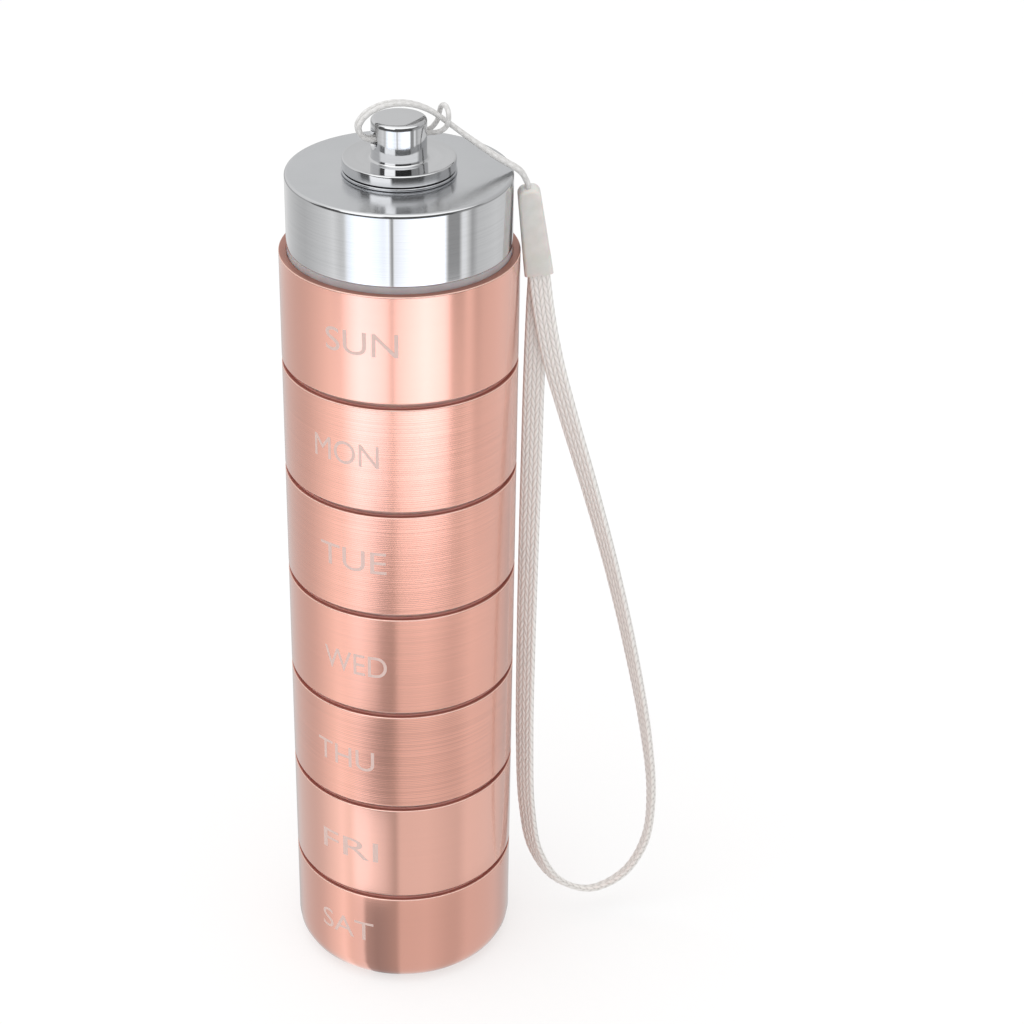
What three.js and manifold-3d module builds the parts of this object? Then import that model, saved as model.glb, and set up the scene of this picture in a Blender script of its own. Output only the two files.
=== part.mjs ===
import * as THREE from "three";
import { mergeVertices } from "three/addons/utils/BufferGeometryUtils.js";
import Module from "manifold-3d";

// Weekly pill organizer: seven round aluminium cups that screw into one another, closed by a
// chrome cap whose post carries a wrist strap. Lengths are in millimetres, +Z is up, and the
// origin is the centre of the bottom face.

// Stack
const cupRadius = 14;
const cupPitch = 14.1;
const baseCupHeight = 14;
const seamGap = 0.55;
const edgeChamfer = 0.25;
const days = ["sun", "mon", "tue", "wed", "thu", "fri"];

// Cup walls
const rimWall = 0.9;
const seatDepth = 0.9;
const floorThickness = 0.9;
const floorFillet = 0.6;
const neckWall = 0.75;
const footFillet = 3;
const footFloorThickness = 1.2;

// Screw thread, one rounded ridge
const threadDepth = 0.5;
const threadPitch = 2;
const threadClearance = 0.25;
const neckThreadRows = 7;
const mouthThreadRows = 8;
const neckLength = 3.6;
const neckTipClearance = 0.1;
const collarDepth = 0.55;
const threadRunout = 0.4;

// Sealing rings
const sealWidth = 0.85;
const sealSideClearance = 0.15;
const sealCollarClearance = 0.2;
const sealEndClearance = 0.1;

// Cap
const capInset = 0.9;
const capHeight = 8.6;
const capSeamGap = 0.65;
const capWall = 0.9;
const capTopThickness = 1.4;
const plugClearance = 0.1;

// Post, washer and screw
const postHoleRadius = 2.1;
const shankRadius = 1.9;
const washerRadius = 6.3;
const flangeGap = 0.5;
const washerClearance = 0.08;
const flangeRadius = 6.55;
const flangeThickness = 1.2;
const flangeChamfer = 0.2;
const stemRadius = 3.2;
const stemHeight = 4.7;
const stemChamfer = 0.35;
const stemFillet = 0.4;
const crossHoleRadius = 1;
const crossHoleHeight = 2.55;
const crossHoleAzimuth = 20;
const shankReach = 0.2;
const tapRadius = 1.25;
const tapDepth = 3.9;
const screwClearance = 0.15;
const screwHeadRadius = 2.7;
const screwHeadHeight = 1.5;
const screwHeadRound = 0.5;
const screwHeadClearance = 0.1;
const screwTipClearance = 0.5;
const recessWidth = 0.6;
const recessLength = 2.6;
const recessDepth = 0.8;

// Strap
const cordRadius = 0.3;
const strandOffset = 0.36;
const braidWidth = 2.6;
const braidThickness = 0.8;
const braidEdgeRound = 0.3;
const sleeveLength = 10.6;
const sleeveNarrow = 2.6;
const sleeveWide = 3.4;
const sleeveThickness = 2.8;
const sleeveBevel = 0.4;
const pocketLength = 2.5;
const pocketWidth = 2.8;
const pocketThickness = 2.2;
const tailClearance = 0.3;

const overrun = 1;
const turnedSides = 32;
const smallSides = 20;
const filletSteps = 4;
const boreSides = 12;
const cordSides = 8;
const cordSteps = 46;
const braidSteps = 34;

const wasm = await Module();
wasm.setup();

// Materials

const metal = (name, color, roughness) =>
  new THREE.MeshStandardMaterial({ name, color, roughness, metalness: 1 });
const soft = (name, color, roughness) =>
  new THREE.MeshStandardMaterial({ name, color, roughness, metalness: 0 });

const materials = {
  cup: () => metal("rose_anodised", "#d8a18c", 0.28),
  chrome: () => metal("chrome", "#d2d4d8", 0.08),
  satin: () => metal("bare_aluminium", "#c4c6c8", 0.35),
  steel: () => metal("steel", "#b4b6ba", 0.3),
  seal: () => soft("silicone", "#a39da0", 0.5),
  cord: () => soft("braided_cord", "#d6d3cf", 0.7),
  plastic: () => soft("ivory_plastic", "#dcd8cf", 0.4),
  braid: () => soft("flat_braid", "#cbc7c2", 0.6),
};

// Solids

// A closed solid from a geometry whose corners may be doubled.
function solidOf(geometry) {
  const bare = geometry.clone();
  bare.deleteAttribute("normal");
  bare.deleteAttribute("uv");
  const merged = mergeVertices(bare);
  return new wasm.Manifold(
    new wasm.Mesh({
      numProp: 3,
      vertProperties: merged.attributes.position.array,
      triVerts: new Uint32Array(merged.index.array),
    }),
  );
}

function geometryOf(solid) {
  const mesh = solid.getMesh();
  const geometry = new THREE.BufferGeometry();
  geometry.setAttribute("position", new THREE.BufferAttribute(mesh.vertProperties, mesh.numProp));
  geometry.setIndex(new THREE.BufferAttribute(mesh.triVerts, 1));
  geometry.computeVertexNormals();
  return geometry;
}

// The height of the thread ridge, 0 to 1, at a turn counted from the -Y side and a height from
// the seam plane. It rises anticlockwise, so anticlockwise unscrews.
function ridge(turn, fromSeam) {
  return (1 + Math.cos(2 * Math.PI * (fromSeam / threadPitch - turn))) / 2;
}

// A turned solid. Each point of the profile is [radius, height], and a row of the thread adds
// the share of the ridge that stands there and the row's height from the seam plane.
function turned(profile, sides = turnedSides) {
  const outline = profile.map(([radius, height]) => new THREE.Vector2(radius, height));
  const solid = new THREE.LatheGeometry(outline, sides);
  const position = solid.getAttribute("position");
  for (let side = 0; side <= sides; side += 1) {
    profile.forEach(([radius, , ridgeShare, fromSeam], row) => {
      if (!ridgeShare) return;
      const vertex = side * profile.length + row;
      const raised = radius + ridgeShare * threadDepth * ridge(side / sides, fromSeam);
      position.setX(vertex, (position.getX(vertex) * raised) / radius);
      position.setZ(vertex, (position.getZ(vertex) * raised) / radius);
    });
  }
  solid.computeVertexNormals();
  return solid.rotateX(Math.PI / 2);
}

const closed = (profile) => [...profile, profile[0]];

function meshOf(name, geometry, material) {
  const mesh = new THREE.Mesh(geometry, material);
  mesh.name = name;
  return mesh;
}

// Radii from the rim inwards: seat, seal, collar, thread, bore

const seatRadius = cupRadius - rimWall;
const sealOuterRadius = seatRadius - sealSideClearance;
const sealInnerRadius = sealOuterRadius - sealWidth;
const collarRadius = sealInnerRadius - sealCollarClearance;
const threadRootRadius = collarRadius - threadDepth;
const boreRadius = threadRootRadius + threadClearance;
const neckBoreRadius = threadRootRadius - neckWall;
const neckTipRadius = threadRootRadius - edgeChamfer;

// Threads, written from the seam plane that the two halves meet at

const neckThreadBottom = -neckLength + edgeChamfer;
const neckThreadTop = -collarDepth - threadRunout;
const mouthThreadBottom = -neckLength - neckTipClearance;

// The outside of a neck from its tip up to the collar. The ridge fades out at both ends.
function neckOutside() {
  const rows = Array.from({ length: neckThreadRows }, (unused, row) => {
    const share = row / (neckThreadRows - 1);
    const height = neckThreadBottom + (neckThreadTop - neckThreadBottom) * share;
    const ridgeShare = share > 0 && share < 1 ? 1 : 0;
    return [threadRootRadius, height, ridgeShare, height];
  });
  return [[neckTipRadius, -neckLength], ...rows, [collarRadius, -collarDepth]];
}

// The rim, the seat of the seal and the thread of a mouth, from outside in, at a rim height.
function mouthInside(rim) {
  const rows = Array.from({ length: mouthThreadRows }, (unused, row) => {
    const share = row / (mouthThreadRows - 1);
    const fromSeam = -seatDepth + (mouthThreadBottom + seatDepth) * share;
    const ridgeShare = share < 1 ? 1 : 0;
    return [boreRadius, rim + fromSeam, ridgeShare, fromSeam];
  });
  return [
    [cupRadius, rim - edgeChamfer],
    [cupRadius - edgeChamfer, rim],
    [seatRadius, rim],
    [seatRadius, rim - seatDepth],
    ...rows,
  ];
}

// Cups

function screwedCup(day) {
  const coneTop = seamGap + floorThickness;
  const coneBottom = coneTop - (boreRadius - neckBoreRadius);
  const floor = -neckLength + floorThickness;
  const profile = [
    [0, -neckLength],
    ...neckOutside(),
    [collarRadius, seamGap],
    [cupRadius - edgeChamfer, seamGap],
    [cupRadius, seamGap + edgeChamfer],
    ...mouthInside(cupPitch),
    [boreRadius, coneTop],
    [neckBoreRadius, coneBottom],
    [neckBoreRadius, floor + floorFillet],
    [neckBoreRadius - floorFillet, floor],
    [0, floor],
  ];
  return meshOf(`cup_${day}`, turned(profile), materials.cup());
}

function baseCup() {
  const foot = Array.from({ length: filletSteps + 1 }, (unused, step) => {
    const angle = ((step / filletSteps - 1) * Math.PI) / 2;
    return [
      cupRadius - footFillet + footFillet * Math.cos(angle),
      footFillet + footFillet * Math.sin(angle),
    ];
  });
  const profile = [
    [0, 0],
    ...foot,
    ...mouthInside(baseCupHeight),
    [boreRadius, footFloorThickness + floorFillet],
    [boreRadius - floorFillet, footFloorThickness],
    [0, footFloorThickness],
  ];
  return meshOf("cup_sat", turned(profile), materials.cup());
}

// A sealing ring that fills the seat of a mouth up to the piece above it.
function seal(name, gap) {
  const bottom = -seatDepth + sealEndClearance;
  const top = gap - sealEndClearance;
  const profile = closed([
    [sealInnerRadius, bottom],
    [sealOuterRadius, bottom],
    [sealOuterRadius, top],
    [sealInnerRadius, top],
  ]);
  return meshOf(name, turned(profile), materials.seal());
}

// Cap, from the seam plane of the top cup

const capTop = capSeamGap + capHeight;
const capCeiling = capTop - capTopThickness;
const capRadius = cupRadius - capInset;
const capBoreRadius = capRadius - capWall;

function capShell() {
  const profile = closed([
    [capBoreRadius, capSeamGap],
    [capRadius - edgeChamfer, capSeamGap],
    [capRadius, capSeamGap + edgeChamfer],
    [capRadius, capTop - edgeChamfer],
    [capRadius - edgeChamfer, capTop],
    [postHoleRadius, capTop],
    [postHoleRadius, capCeiling],
    [capBoreRadius, capCeiling],
  ]);
  return meshOf("cap_shell", turned(profile), materials.chrome());
}

// The threaded ring that is pressed into the shell: its neck is the same as a cup's.
function capPlug() {
  const outer = capBoreRadius - plugClearance;
  const top = capCeiling - plugClearance;
  const profile = closed([
    [neckBoreRadius, -neckLength],
    ...neckOutside(),
    [collarRadius, capSeamGap],
    [outer, capSeamGap],
    [outer, top],
    [neckBoreRadius, top],
  ]);
  return meshOf("cap_plug", turned(profile), materials.satin());
}

// Post

const flangeBottom = capTop + flangeGap;
const flangeTop = flangeBottom + flangeThickness;
const stemTop = flangeTop + stemHeight;
const crossHole = flangeTop + crossHoleHeight;
const shankBottom = capCeiling - shankReach;

function lanyardPost() {
  const profile = [
    [0, shankBottom + tapDepth],
    [tapRadius, shankBottom + tapDepth],
    [tapRadius, shankBottom],
    [shankRadius, shankBottom],
    [shankRadius, flangeBottom],
    [flangeRadius - flangeChamfer, flangeBottom],
    [flangeRadius, flangeBottom + flangeChamfer],
    [flangeRadius, flangeTop - flangeChamfer],
    [flangeRadius - flangeChamfer, flangeTop],
    [stemRadius + stemFillet, flangeTop],
    [stemRadius, flangeTop + stemFillet],
    [stemRadius, stemTop - stemChamfer],
    [stemRadius - stemChamfer, stemTop],
    [0, stemTop],
  ];
  const bore = new THREE.CylinderGeometry(
    crossHoleRadius,
    crossHoleRadius,
    (stemRadius + overrun) * 2,
    boreSides,
  );
  bore.rotateZ(Math.PI / 2);
  bore.rotateZ(THREE.MathUtils.degToRad(crossHoleAzimuth));
  bore.translate(0, 0, crossHole);
  const post = solidOf(turned(profile, smallSides)).subtract(solidOf(bore));
  return meshOf("lanyard_post", geometryOf(post), materials.chrome());
}

function postWasher() {
  const profile = closed([
    [postHoleRadius, capTop + washerClearance],
    [washerRadius, capTop + washerClearance],
    [washerRadius, flangeBottom - washerClearance],
    [postHoleRadius, flangeBottom - washerClearance],
  ]);
  return meshOf("post_washer", turned(profile, smallSides), materials.steel());
}

// A pan-head screw with a cross recess, put in from below.
function postScrew() {
  const headTop = shankBottom - screwHeadClearance;
  const headBottom = headTop - screwHeadHeight;
  const tip = shankBottom + tapDepth - screwTipClearance;
  const shank = tapRadius - screwClearance;
  const profile = [
    [0, headBottom],
    [screwHeadRadius - screwHeadRound, headBottom],
    [screwHeadRadius, headBottom + screwHeadRound],
    [screwHeadRadius, headTop],
    [shank, headTop],
    [shank, tip],
    [0, tip],
  ];
  const depth = recessDepth + overrun;
  const slots = [0, Math.PI / 2].map((angle) => {
    const slot = new THREE.BoxGeometry(recessLength, recessWidth, depth);
    slot.rotateZ(angle);
    slot.translate(0, 0, headBottom + recessDepth - depth / 2);
    return solidOf(slot);
  });
  const screw = solidOf(turned(profile, smallSides)).subtract(slots[0].add(slots[1]));
  return meshOf("post_screw", geometryOf(screw), materials.steel());
}

// Strap

// The middle line of the two cord strands, from the sleeve over the cap's edge, through the eye,
// over the stem and into the cross hole.
const tailRoute = [
  [14.71, 0, 106.1],
  [14.42, 0, 106.8],
  [14.02, 0, 107.54],
  [13.44, 0, 108.1],
  [12.65, 0.03, 108.56],
  [11.0, 0.2, 109.5],
  [9.2, 0.48, 110.68],
  [7.4, 0.8, 111.9],
  [6.0, 1.06, 112.9],
  [5.0, 1.2, 113.6],
  [3.9, 1.2, 114.4],
  [2.6, 0.93, 115.15],
  [1.0, 0.37, 115.75],
  [-0.8, -0.29, 115.98],
  [-2.5, -0.91, 115.7],
  [-3.85, -1.4, 114.95],
  [-4.55, -1.65, 113.9],
  [-4.35, -1.58, 112.9],
  [-3.65, -1.33, 112.25],
  [-2.7, -0.98, 112.1],
  [0, 0, 112.1],
  [2.7, 0.98, 112.1],
];

// One side of the eye that the two strands make beyond the cross hole, with how far it stands
// from their middle line.
const eyeRoute = [
  [3.4, 1.24, 112.1, 0.45],
  [4.2, 1.45, 112.3, 0.95],
  [4.85, 1.5, 112.95, 1.3],
  [5.1, 1.42, 113.85, 1.4],
  [5.2, 1.35, 114.7, 1.1],
];
const eyeTop = [5.25, 1.32, 115.15];

// The wrist loop's middle line and, last, how far its face has turned from facing the front.
const loopRoute = [
  [15.95, -0.55, 96.9, 0],
  [16.2, -0.55, 95.0, 0],
  [16.9, -0.6, 90.0, 6],
  [18.1, -0.7, 84.0, 14],
  [20.3, -0.7, 76.0, 26],
  [23.2, -0.5, 66.0, 38],
  [26.3, -0.3, 54.5, 48],
  [29.2, -0.1, 42.0, 56],
  [31.6, 0, 29.5, 66],
  [32.7, 0, 19.5, 78],
  [32.1, 0, 12.0, 90],
  [29.3, 0, 6.6, 106],
  [24.9, 0, 4.2, 120],
  [20.6, 0, 5.9, 128],
  [17.6, 0.1, 10.8, 134],
  [16.3, 0.2, 18.0, 140],
  [15.8, 0.3, 29.0, 147],
  [15.7, 0.4, 43.0, 154],
  [15.75, 0.5, 57.0, 162],
  [15.85, 0.6, 70.0, 170],
  [15.95, 0.62, 82.0, 176],
  [16.1, 0.58, 90.5, 180],
  [16.2, 0.55, 95.0, 180],
  [15.95, 0.55, 96.9, 180],
];

const vector = ([x, y, z]) => new THREE.Vector3(x, y, z);

// The direction in which the two strands lie beside each other: square to the cross hole at the
// post, and round to +Y at the cap's edge.
function strandSide(x) {
  const turnedOut = THREE.MathUtils.smoothstep(x, eyeTop[0], capRadius);
  const azimuth = THREE.MathUtils.degToRad(crossHoleAzimuth * (1 - turnedOut));
  return new THREE.Vector3(-Math.sin(azimuth), Math.cos(azimuth), 0);
}

const beside = (point, offset) => vector(point).addScaledVector(strandSide(point[0]), offset);

function hitchCord() {
  const tail = (sign) => tailRoute.map((point) => beside(point, sign * strandOffset));
  const eye = (sign) => eyeRoute.map((point) => beside(point, sign * point[3]));
  const points = [...tail(1), ...eye(1), vector(eyeTop), ...eye(-1).reverse(), ...tail(-1).reverse()];
  const section = new THREE.Shape();
  section.absarc(0, 0, cordRadius, 0, 2 * Math.PI);
  const tube = new THREE.ExtrudeGeometry(section, {
    steps: cordSteps,
    curveSegments: cordSides,
    extrudePath: new THREE.CatmullRomCurve3(points),
  });
  return meshOf("hitch_cord", tube, materials.cord());
}

// A path whose frames turn as the route says, so that a flat braid can follow it.
class TurningPath extends THREE.CatmullRomCurve3 {
  constructor(route) {
    super(route.map(vector));
    this.turns = route.map((point) => THREE.MathUtils.degToRad(point[3]));
  }

  turnAt(share) {
    const place = this.getUtoTmapping(share) * (this.turns.length - 1);
    const before = Math.min(Math.floor(place), this.turns.length - 2);
    return THREE.MathUtils.lerp(this.turns[before], this.turns[before + 1], place - before);
  }

  computeFrenetFrames(steps) {
    const frames = { tangents: [], normals: [], binormals: [] };
    const front = new THREE.Vector3(0, -1, 0);
    for (let step = 0; step <= steps; step += 1) {
      const tangent = this.getTangentAt(step / steps);
      const level = front.clone().addScaledVector(tangent, -front.dot(tangent)).normalize();
      const face = level.applyAxisAngle(tangent, this.turnAt(step / steps));
      frames.tangents.push(tangent);
      frames.normals.push(face);
      frames.binormals.push(new THREE.Vector3().crossVectors(tangent, face));
    }
    return frames;
  }
}

function wristLoop() {
  const face = braidThickness / 2;
  const edge = braidWidth / 2;
  const outline = [
    [face, edge - braidEdgeRound],
    [face - braidEdgeRound, edge],
    [braidEdgeRound - face, edge],
    [-face, edge - braidEdgeRound],
    [-face, braidEdgeRound - edge],
    [braidEdgeRound - face, -edge],
    [face - braidEdgeRound, -edge],
    [face, braidEdgeRound - edge],
  ];
  const section = new THREE.Shape(outline.map(([x, y]) => new THREE.Vector2(x, y)));
  const tube = new THREE.ExtrudeGeometry(section, {
    steps: braidSteps,
    extrudePath: new TurningPath(loopRoute),
  });
  return meshOf("wrist_loop", tube, materials.braid());
}

// The crimped sleeve, between the cord's ends and the loop's: a tapered block with a rounded
// narrow end, hollow at its wide end.
function crimpSleeve() {
  const outline = new THREE.Shape();
  const narrow = sleeveNarrow / 2;
  const wide = sleeveWide / 2;
  outline.moveTo(-wide, 0);
  outline.lineTo(wide, 0);
  outline.lineTo(narrow, sleeveLength - narrow);
  outline.quadraticCurveTo(narrow, sleeveLength, 0, sleeveLength);
  outline.quadraticCurveTo(-narrow, sleeveLength, -narrow, sleeveLength - narrow);
  const block = new THREE.ExtrudeGeometry(outline, {
    depth: sleeveThickness - sleeveBevel * 2,
    bevelSize: sleeveBevel,
    bevelOffset: -sleeveBevel,
    bevelThickness: sleeveBevel,
    bevelSegments: 2,
    curveSegments: filletSteps,
  });
  block.translate(0, 0, sleeveBevel - sleeveThickness / 2);
  const pocket = new THREE.BoxGeometry(pocketWidth, pocketLength + overrun, pocketThickness);
  pocket.translate(0, (pocketLength - overrun) / 2, 0);
  const sleeve = meshOf(
    "crimp_sleeve",
    geometryOf(solidOf(block).subtract(solidOf(pocket))),
    materials.plastic(),
  );
  const tailEnd = vector(tailRoute[0]);
  const loopEnds = vector(loopRoute[0]).lerp(vector(loopRoute.at(-1)), 1 / 2);
  const up = tailEnd.clone().sub(loopEnds).normalize();
  const front = new THREE.Vector3(0, -1, 0);
  const across = new THREE.Vector3().crossVectors(up, front);
  sleeve.setRotationFromMatrix(new THREE.Matrix4().makeBasis(across, up, front));
  sleeve.position.copy(tailEnd).addScaledVector(up, -tailClearance - sleeveLength);
  return sleeve;
}

// Assembly

const organizer = new THREE.Group();
organizer.name = "pill_organizer";
organizer.add(baseCup());

[...days].reverse().forEach((day, place) => {
  const level = new THREE.Group();
  level.position.z = baseCupHeight + place * cupPitch;
  level.add(seal(`seal_${day}`, seamGap), screwedCup(day));
  organizer.add(level);
});

const cap = new THREE.Group();
cap.position.z = baseCupHeight + days.length * cupPitch;
cap.add(seal("cap_seal", capSeamGap), capShell(), capPlug());
cap.add(postWasher(), lanyardPost(), postScrew());
organizer.add(cap);
organizer.add(hitchCord(), crimpSleeve(), wristLoop());

export default organizer;
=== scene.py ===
import math
import bmesh
import bpy
from mathutils import Matrix, Vector


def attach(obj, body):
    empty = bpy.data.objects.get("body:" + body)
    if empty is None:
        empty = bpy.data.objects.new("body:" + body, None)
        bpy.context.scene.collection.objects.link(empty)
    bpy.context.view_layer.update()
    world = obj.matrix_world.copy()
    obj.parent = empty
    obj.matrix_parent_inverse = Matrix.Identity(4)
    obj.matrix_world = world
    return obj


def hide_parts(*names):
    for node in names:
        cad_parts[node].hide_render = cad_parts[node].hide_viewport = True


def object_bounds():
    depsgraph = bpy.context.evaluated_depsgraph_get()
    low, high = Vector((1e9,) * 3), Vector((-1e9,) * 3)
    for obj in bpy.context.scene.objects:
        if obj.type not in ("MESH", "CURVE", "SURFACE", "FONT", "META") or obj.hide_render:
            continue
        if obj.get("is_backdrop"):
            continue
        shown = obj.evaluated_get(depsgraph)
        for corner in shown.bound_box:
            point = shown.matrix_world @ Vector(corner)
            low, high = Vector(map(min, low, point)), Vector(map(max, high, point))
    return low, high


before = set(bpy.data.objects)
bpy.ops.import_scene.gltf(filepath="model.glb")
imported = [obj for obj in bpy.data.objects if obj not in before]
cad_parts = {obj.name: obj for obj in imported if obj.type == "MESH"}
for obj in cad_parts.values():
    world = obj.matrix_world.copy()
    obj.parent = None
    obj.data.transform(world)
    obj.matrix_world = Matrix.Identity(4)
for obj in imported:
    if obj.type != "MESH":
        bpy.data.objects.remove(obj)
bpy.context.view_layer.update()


# Camera. It stands a third of a metre in front of the upright organizer and looks down on it by
# thirty degrees. It is rolled by one degree, so that the organizer leans a little.

camera_place = Vector((0, -0.261, 0.2128))
camera_yaw = math.radians(2.979)
camera_pitch = 0.5206
camera_roll = math.radians(1.0825)
picture_width = 1024
focal_pixels = 2447
sensor_width = 36

ahead = Vector((
    math.sin(camera_yaw) * math.cos(camera_pitch),
    math.cos(camera_yaw) * math.cos(camera_pitch),
    -math.sin(camera_pitch),
))
level = Vector((math.cos(camera_yaw), -math.sin(camera_yaw), 0))
raised = level.cross(ahead)
right = math.cos(camera_roll) * level + math.sin(camera_roll) * raised
upward = math.cos(camera_roll) * raised - math.sin(camera_roll) * level
camera = bpy.data.objects.new("camera", bpy.data.cameras.new("camera"))
camera.data.sensor_width = sensor_width
camera.data.lens = focal_pixels / picture_width * sensor_width
camera.data.clip_start = 0.01
camera_turn = Matrix((right, upward, -ahead)).transposed().to_4x4()
camera.matrix_world = Matrix.Translation(camera_place) @ camera_turn
bpy.context.scene.collection.objects.link(camera)
bpy.context.scene.camera = camera


# Hitch cord. One thin braided polyester cord, doubled: both ends are crimped in the sleeve, and
# the middle is an eye. The pair is threaded through the post's cross hole, and the eye is
# passed round the pair, so that it pulls tight on the stem.

mm = 0.001
cord_diameter = 0.6 * mm
cord_sides = 16
cord_step = 0.11 * mm
braid_pitch = 0.5 * mm
braid_hollow = 0.985
braid_swell = 0.02
strand_offset = 0.36
tail_route = [
    (14.92, 0, 104.5), (14.71, 0, 106.1), (14.42, 0, 106.8), (14.02, 0, 107.54), (13.44, 0, 108.1),
    (12.65, 0.03, 108.56), (11.0, 0.2, 109.5), (9.2, 0.48, 110.68), (7.4, 0.8, 111.9),
    (6.0, 1.06, 112.9), (5.0, 1.2, 113.6), (3.9, 1.2, 114.4), (2.6, 0.93, 115.15),
    (1.0, 0.37, 115.75), (-0.8, -0.29, 115.98), (-2.5, -0.91, 115.7), (-3.85, -1.4, 114.95),
    (-4.55, -1.65, 113.9), (-4.35, -1.58, 112.9), (-3.65, -1.33, 112.25), (-2.7, -0.98, 112.1),
    (0, 0, 112.1), (2.7, 0.98, 112.1),
]
eye_route = [
    (3.4, 1.24, 112.1, 0.45), (4.2, 1.45, 112.3, 0.95), (4.85, 1.5, 112.95, 1.3),
    (5.1, 1.42, 113.85, 1.4), (5.2, 1.35, 114.7, 1.1),
]
eye_top = (5.25, 1.32, 115.15)
cross_hole_azimuth = 20
cap_radius = 13.1


def beside(point, offset):
    """A strand's point, beside the pair's middle line."""
    share = min(max((point[0] - eye_top[0]) / (cap_radius - eye_top[0]), 0), 1)
    azimuth = math.radians(cross_hole_azimuth * (1 - share * share * (3 - 2 * share)))
    side = Vector((-math.sin(azimuth), math.cos(azimuth), 0))
    return tuple((Vector(point[:3]) + offset * side) * mm)


def smooth_line(route, per_span):
    """Points of one smooth curve through a route. What follows x, y and z runs along evenly."""
    before = tuple(2 * a - b for a, b in zip(route[0], route[1]))
    after = tuple(2 * a - b for a, b in zip(route[-1], route[-2]))
    knots = [before, *route, after]
    line = []
    for span in range(1, len(knots) - 2):
        p = knots[span - 1:span + 3]
        gap = [math.dist(p[k][:3], p[k + 1][:3]) ** 0.5 for k in range(3)]
        for step in range(per_span):
            s = step / per_span
            point = []
            for k in range(3):
                a, b, c, d = (q[k] for q in p)
                out = (b - a) / gap[0] - (c - a) / (gap[0] + gap[1]) + (c - b) / gap[1]
                into = (c - b) / gap[1] - (d - b) / (gap[1] + gap[2]) + (d - c) / gap[2]
                point.append(
                    (2 * s ** 3 - 3 * s ** 2 + 1) * b + (s ** 3 - 2 * s ** 2 + s) * gap[1] * out
                    + (3 * s ** 2 - 2 * s ** 3) * c + (s ** 3 - s ** 2) * gap[1] * into
                )
            point += [b + (c - b) * s for b, c in zip(p[1][3:], p[2][3:])]
            line.append(tuple(point))
    return line + [tuple(route[-1])]


def evenly(line, step):
    """The same line with its points an even step apart."""
    along = [0]
    for a, b in zip(line, line[1:]):
        along.append(along[-1] + math.dist(a[:3], b[:3]))
    count = round(along[-1] / step)
    even, place = [], 0
    for k in range(count + 1):
        reach = along[-1] * k / count
        while place < len(line) - 2 and along[place + 1] < reach:
            place += 1
        share = (reach - along[place]) / (along[place + 1] - along[place])
        even.append(tuple(a + (b - a) * share for a, b in zip(line[place], line[place + 1])))
    return even


def directions(line):
    """The direction of a line at each of its points."""
    ends = zip([line[0], *line[:-1]], [*line[1:], line[-1]])
    return [(Vector(b[:3]) - Vector(a[:3])).normalized() for a, b in ends]


def made_object(name, shape, sharp_from=40):
    """The finished mesh as an object at the origin, smooth but for its sharp edges."""
    mesh = bpy.data.meshes.new(name)
    shape.to_mesh(mesh)
    shape.free()
    mesh.shade_smooth()
    mesh.set_sharp_from_angle(angle=math.radians(sharp_from))
    made = bpy.data.objects.new(name, mesh)
    bpy.context.scene.collection.objects.link(made)
    return made


def strand(name, rings, step):
    """A closed strand skinned over its rings.

    Its UV map is the share of the way round, and metres along."""
    shape = bmesh.new()
    uv = shape.loops.layers.uv.new("strand")
    sides, spans = len(rings[0]), len(rings) - 1
    bmesh.ops.create_grid(shape, x_segments=sides, y_segments=spans, size=1, calc_uvs=True)
    for face in shape.faces:
        for corner in face.loops:
            corner[uv].uv.y *= spans * step
    for vertex in shape.verts:
        side = round((vertex.co.x + 1) / 2 * sides) % sides
        vertex.co = rings[round((vertex.co.y + 1) / 2 * spans)][side]
    bmesh.ops.remove_doubles(shape, verts=shape.verts, dist=1e-7)
    bmesh.ops.holes_fill(shape, edges=[e for e in shape.edges if len(e.link_faces) == 1], sides=0)
    bmesh.ops.recalc_face_normals(shape, faces=shape.faces)
    return made_object(name, shape)


def finish_named(name, **surface):
    """A finish with its node tree and its shader, whose plain values are set from the call."""
    finish = bpy.data.materials.new(name)
    finish.use_nodes = True
    shader = finish.node_tree.nodes["Principled BSDF"]
    for socket, value in surface.items():
        shader.inputs[socket.replace("_", " ").title().replace("Ior", "IOR")].default_value = value
    return finish, finish.node_tree, shader


def step_node(tree, kind, inputs=(), output=0, **settings):
    """One output of a node with its settings, its inputs linked or filled in by number."""
    node = tree.nodes.new("ShaderNode" + kind)
    for key, value in settings.items():
        setattr(node, key, value)
    for socket, value in enumerate(inputs):
        if isinstance(value, bpy.types.NodeSocket):
            tree.links.new(value, node.inputs[socket])
        elif value is not None:
            node.inputs[socket].default_value = value
    return node.outputs[output]


def split(tree, vector):
    """The x, y and z of a vector."""
    node = tree.nodes.new("ShaderNodeSeparateXYZ")
    tree.links.new(vector, node.inputs[0])
    return node.outputs


def ramp(tree, value, stops):
    """A colour ramp over a value, with stops of place and colour or grey."""
    node = tree.nodes.new("ShaderNodeValToRGB")
    elements = node.color_ramp.elements
    while len(elements) < len(stops):
        elements.new(0.5)
    for element, (place, colour) in zip(elements, stops):
        element.position = place
        element.color = (*colour, 1) if isinstance(colour, tuple) else (colour, colour, colour, 1)
    tree.links.new(value, node.inputs[0])
    return node.outputs[0]


def paint(tree, shader, value, stops):
    """The base colour, as a colour ramp over a value."""
    tree.links.new(ramp(tree, value, stops), shader.inputs["Base Color"])


def blend(tree, share, first, second, way="MIX"):
    """Two colours or greys blended by a share, each one linked or filled in."""
    node = tree.nodes.new("ShaderNodeMix")
    node.data_type = "RGBA"
    node.blend_type = way
    for socket, value in ((0, share), (6, first), (7, second)):
        if isinstance(value, bpy.types.NodeSocket):
            tree.links.new(value, node.inputs[socket])
        else:
            node.inputs[socket].default_value = value
    return node.outputs[2]


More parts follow.
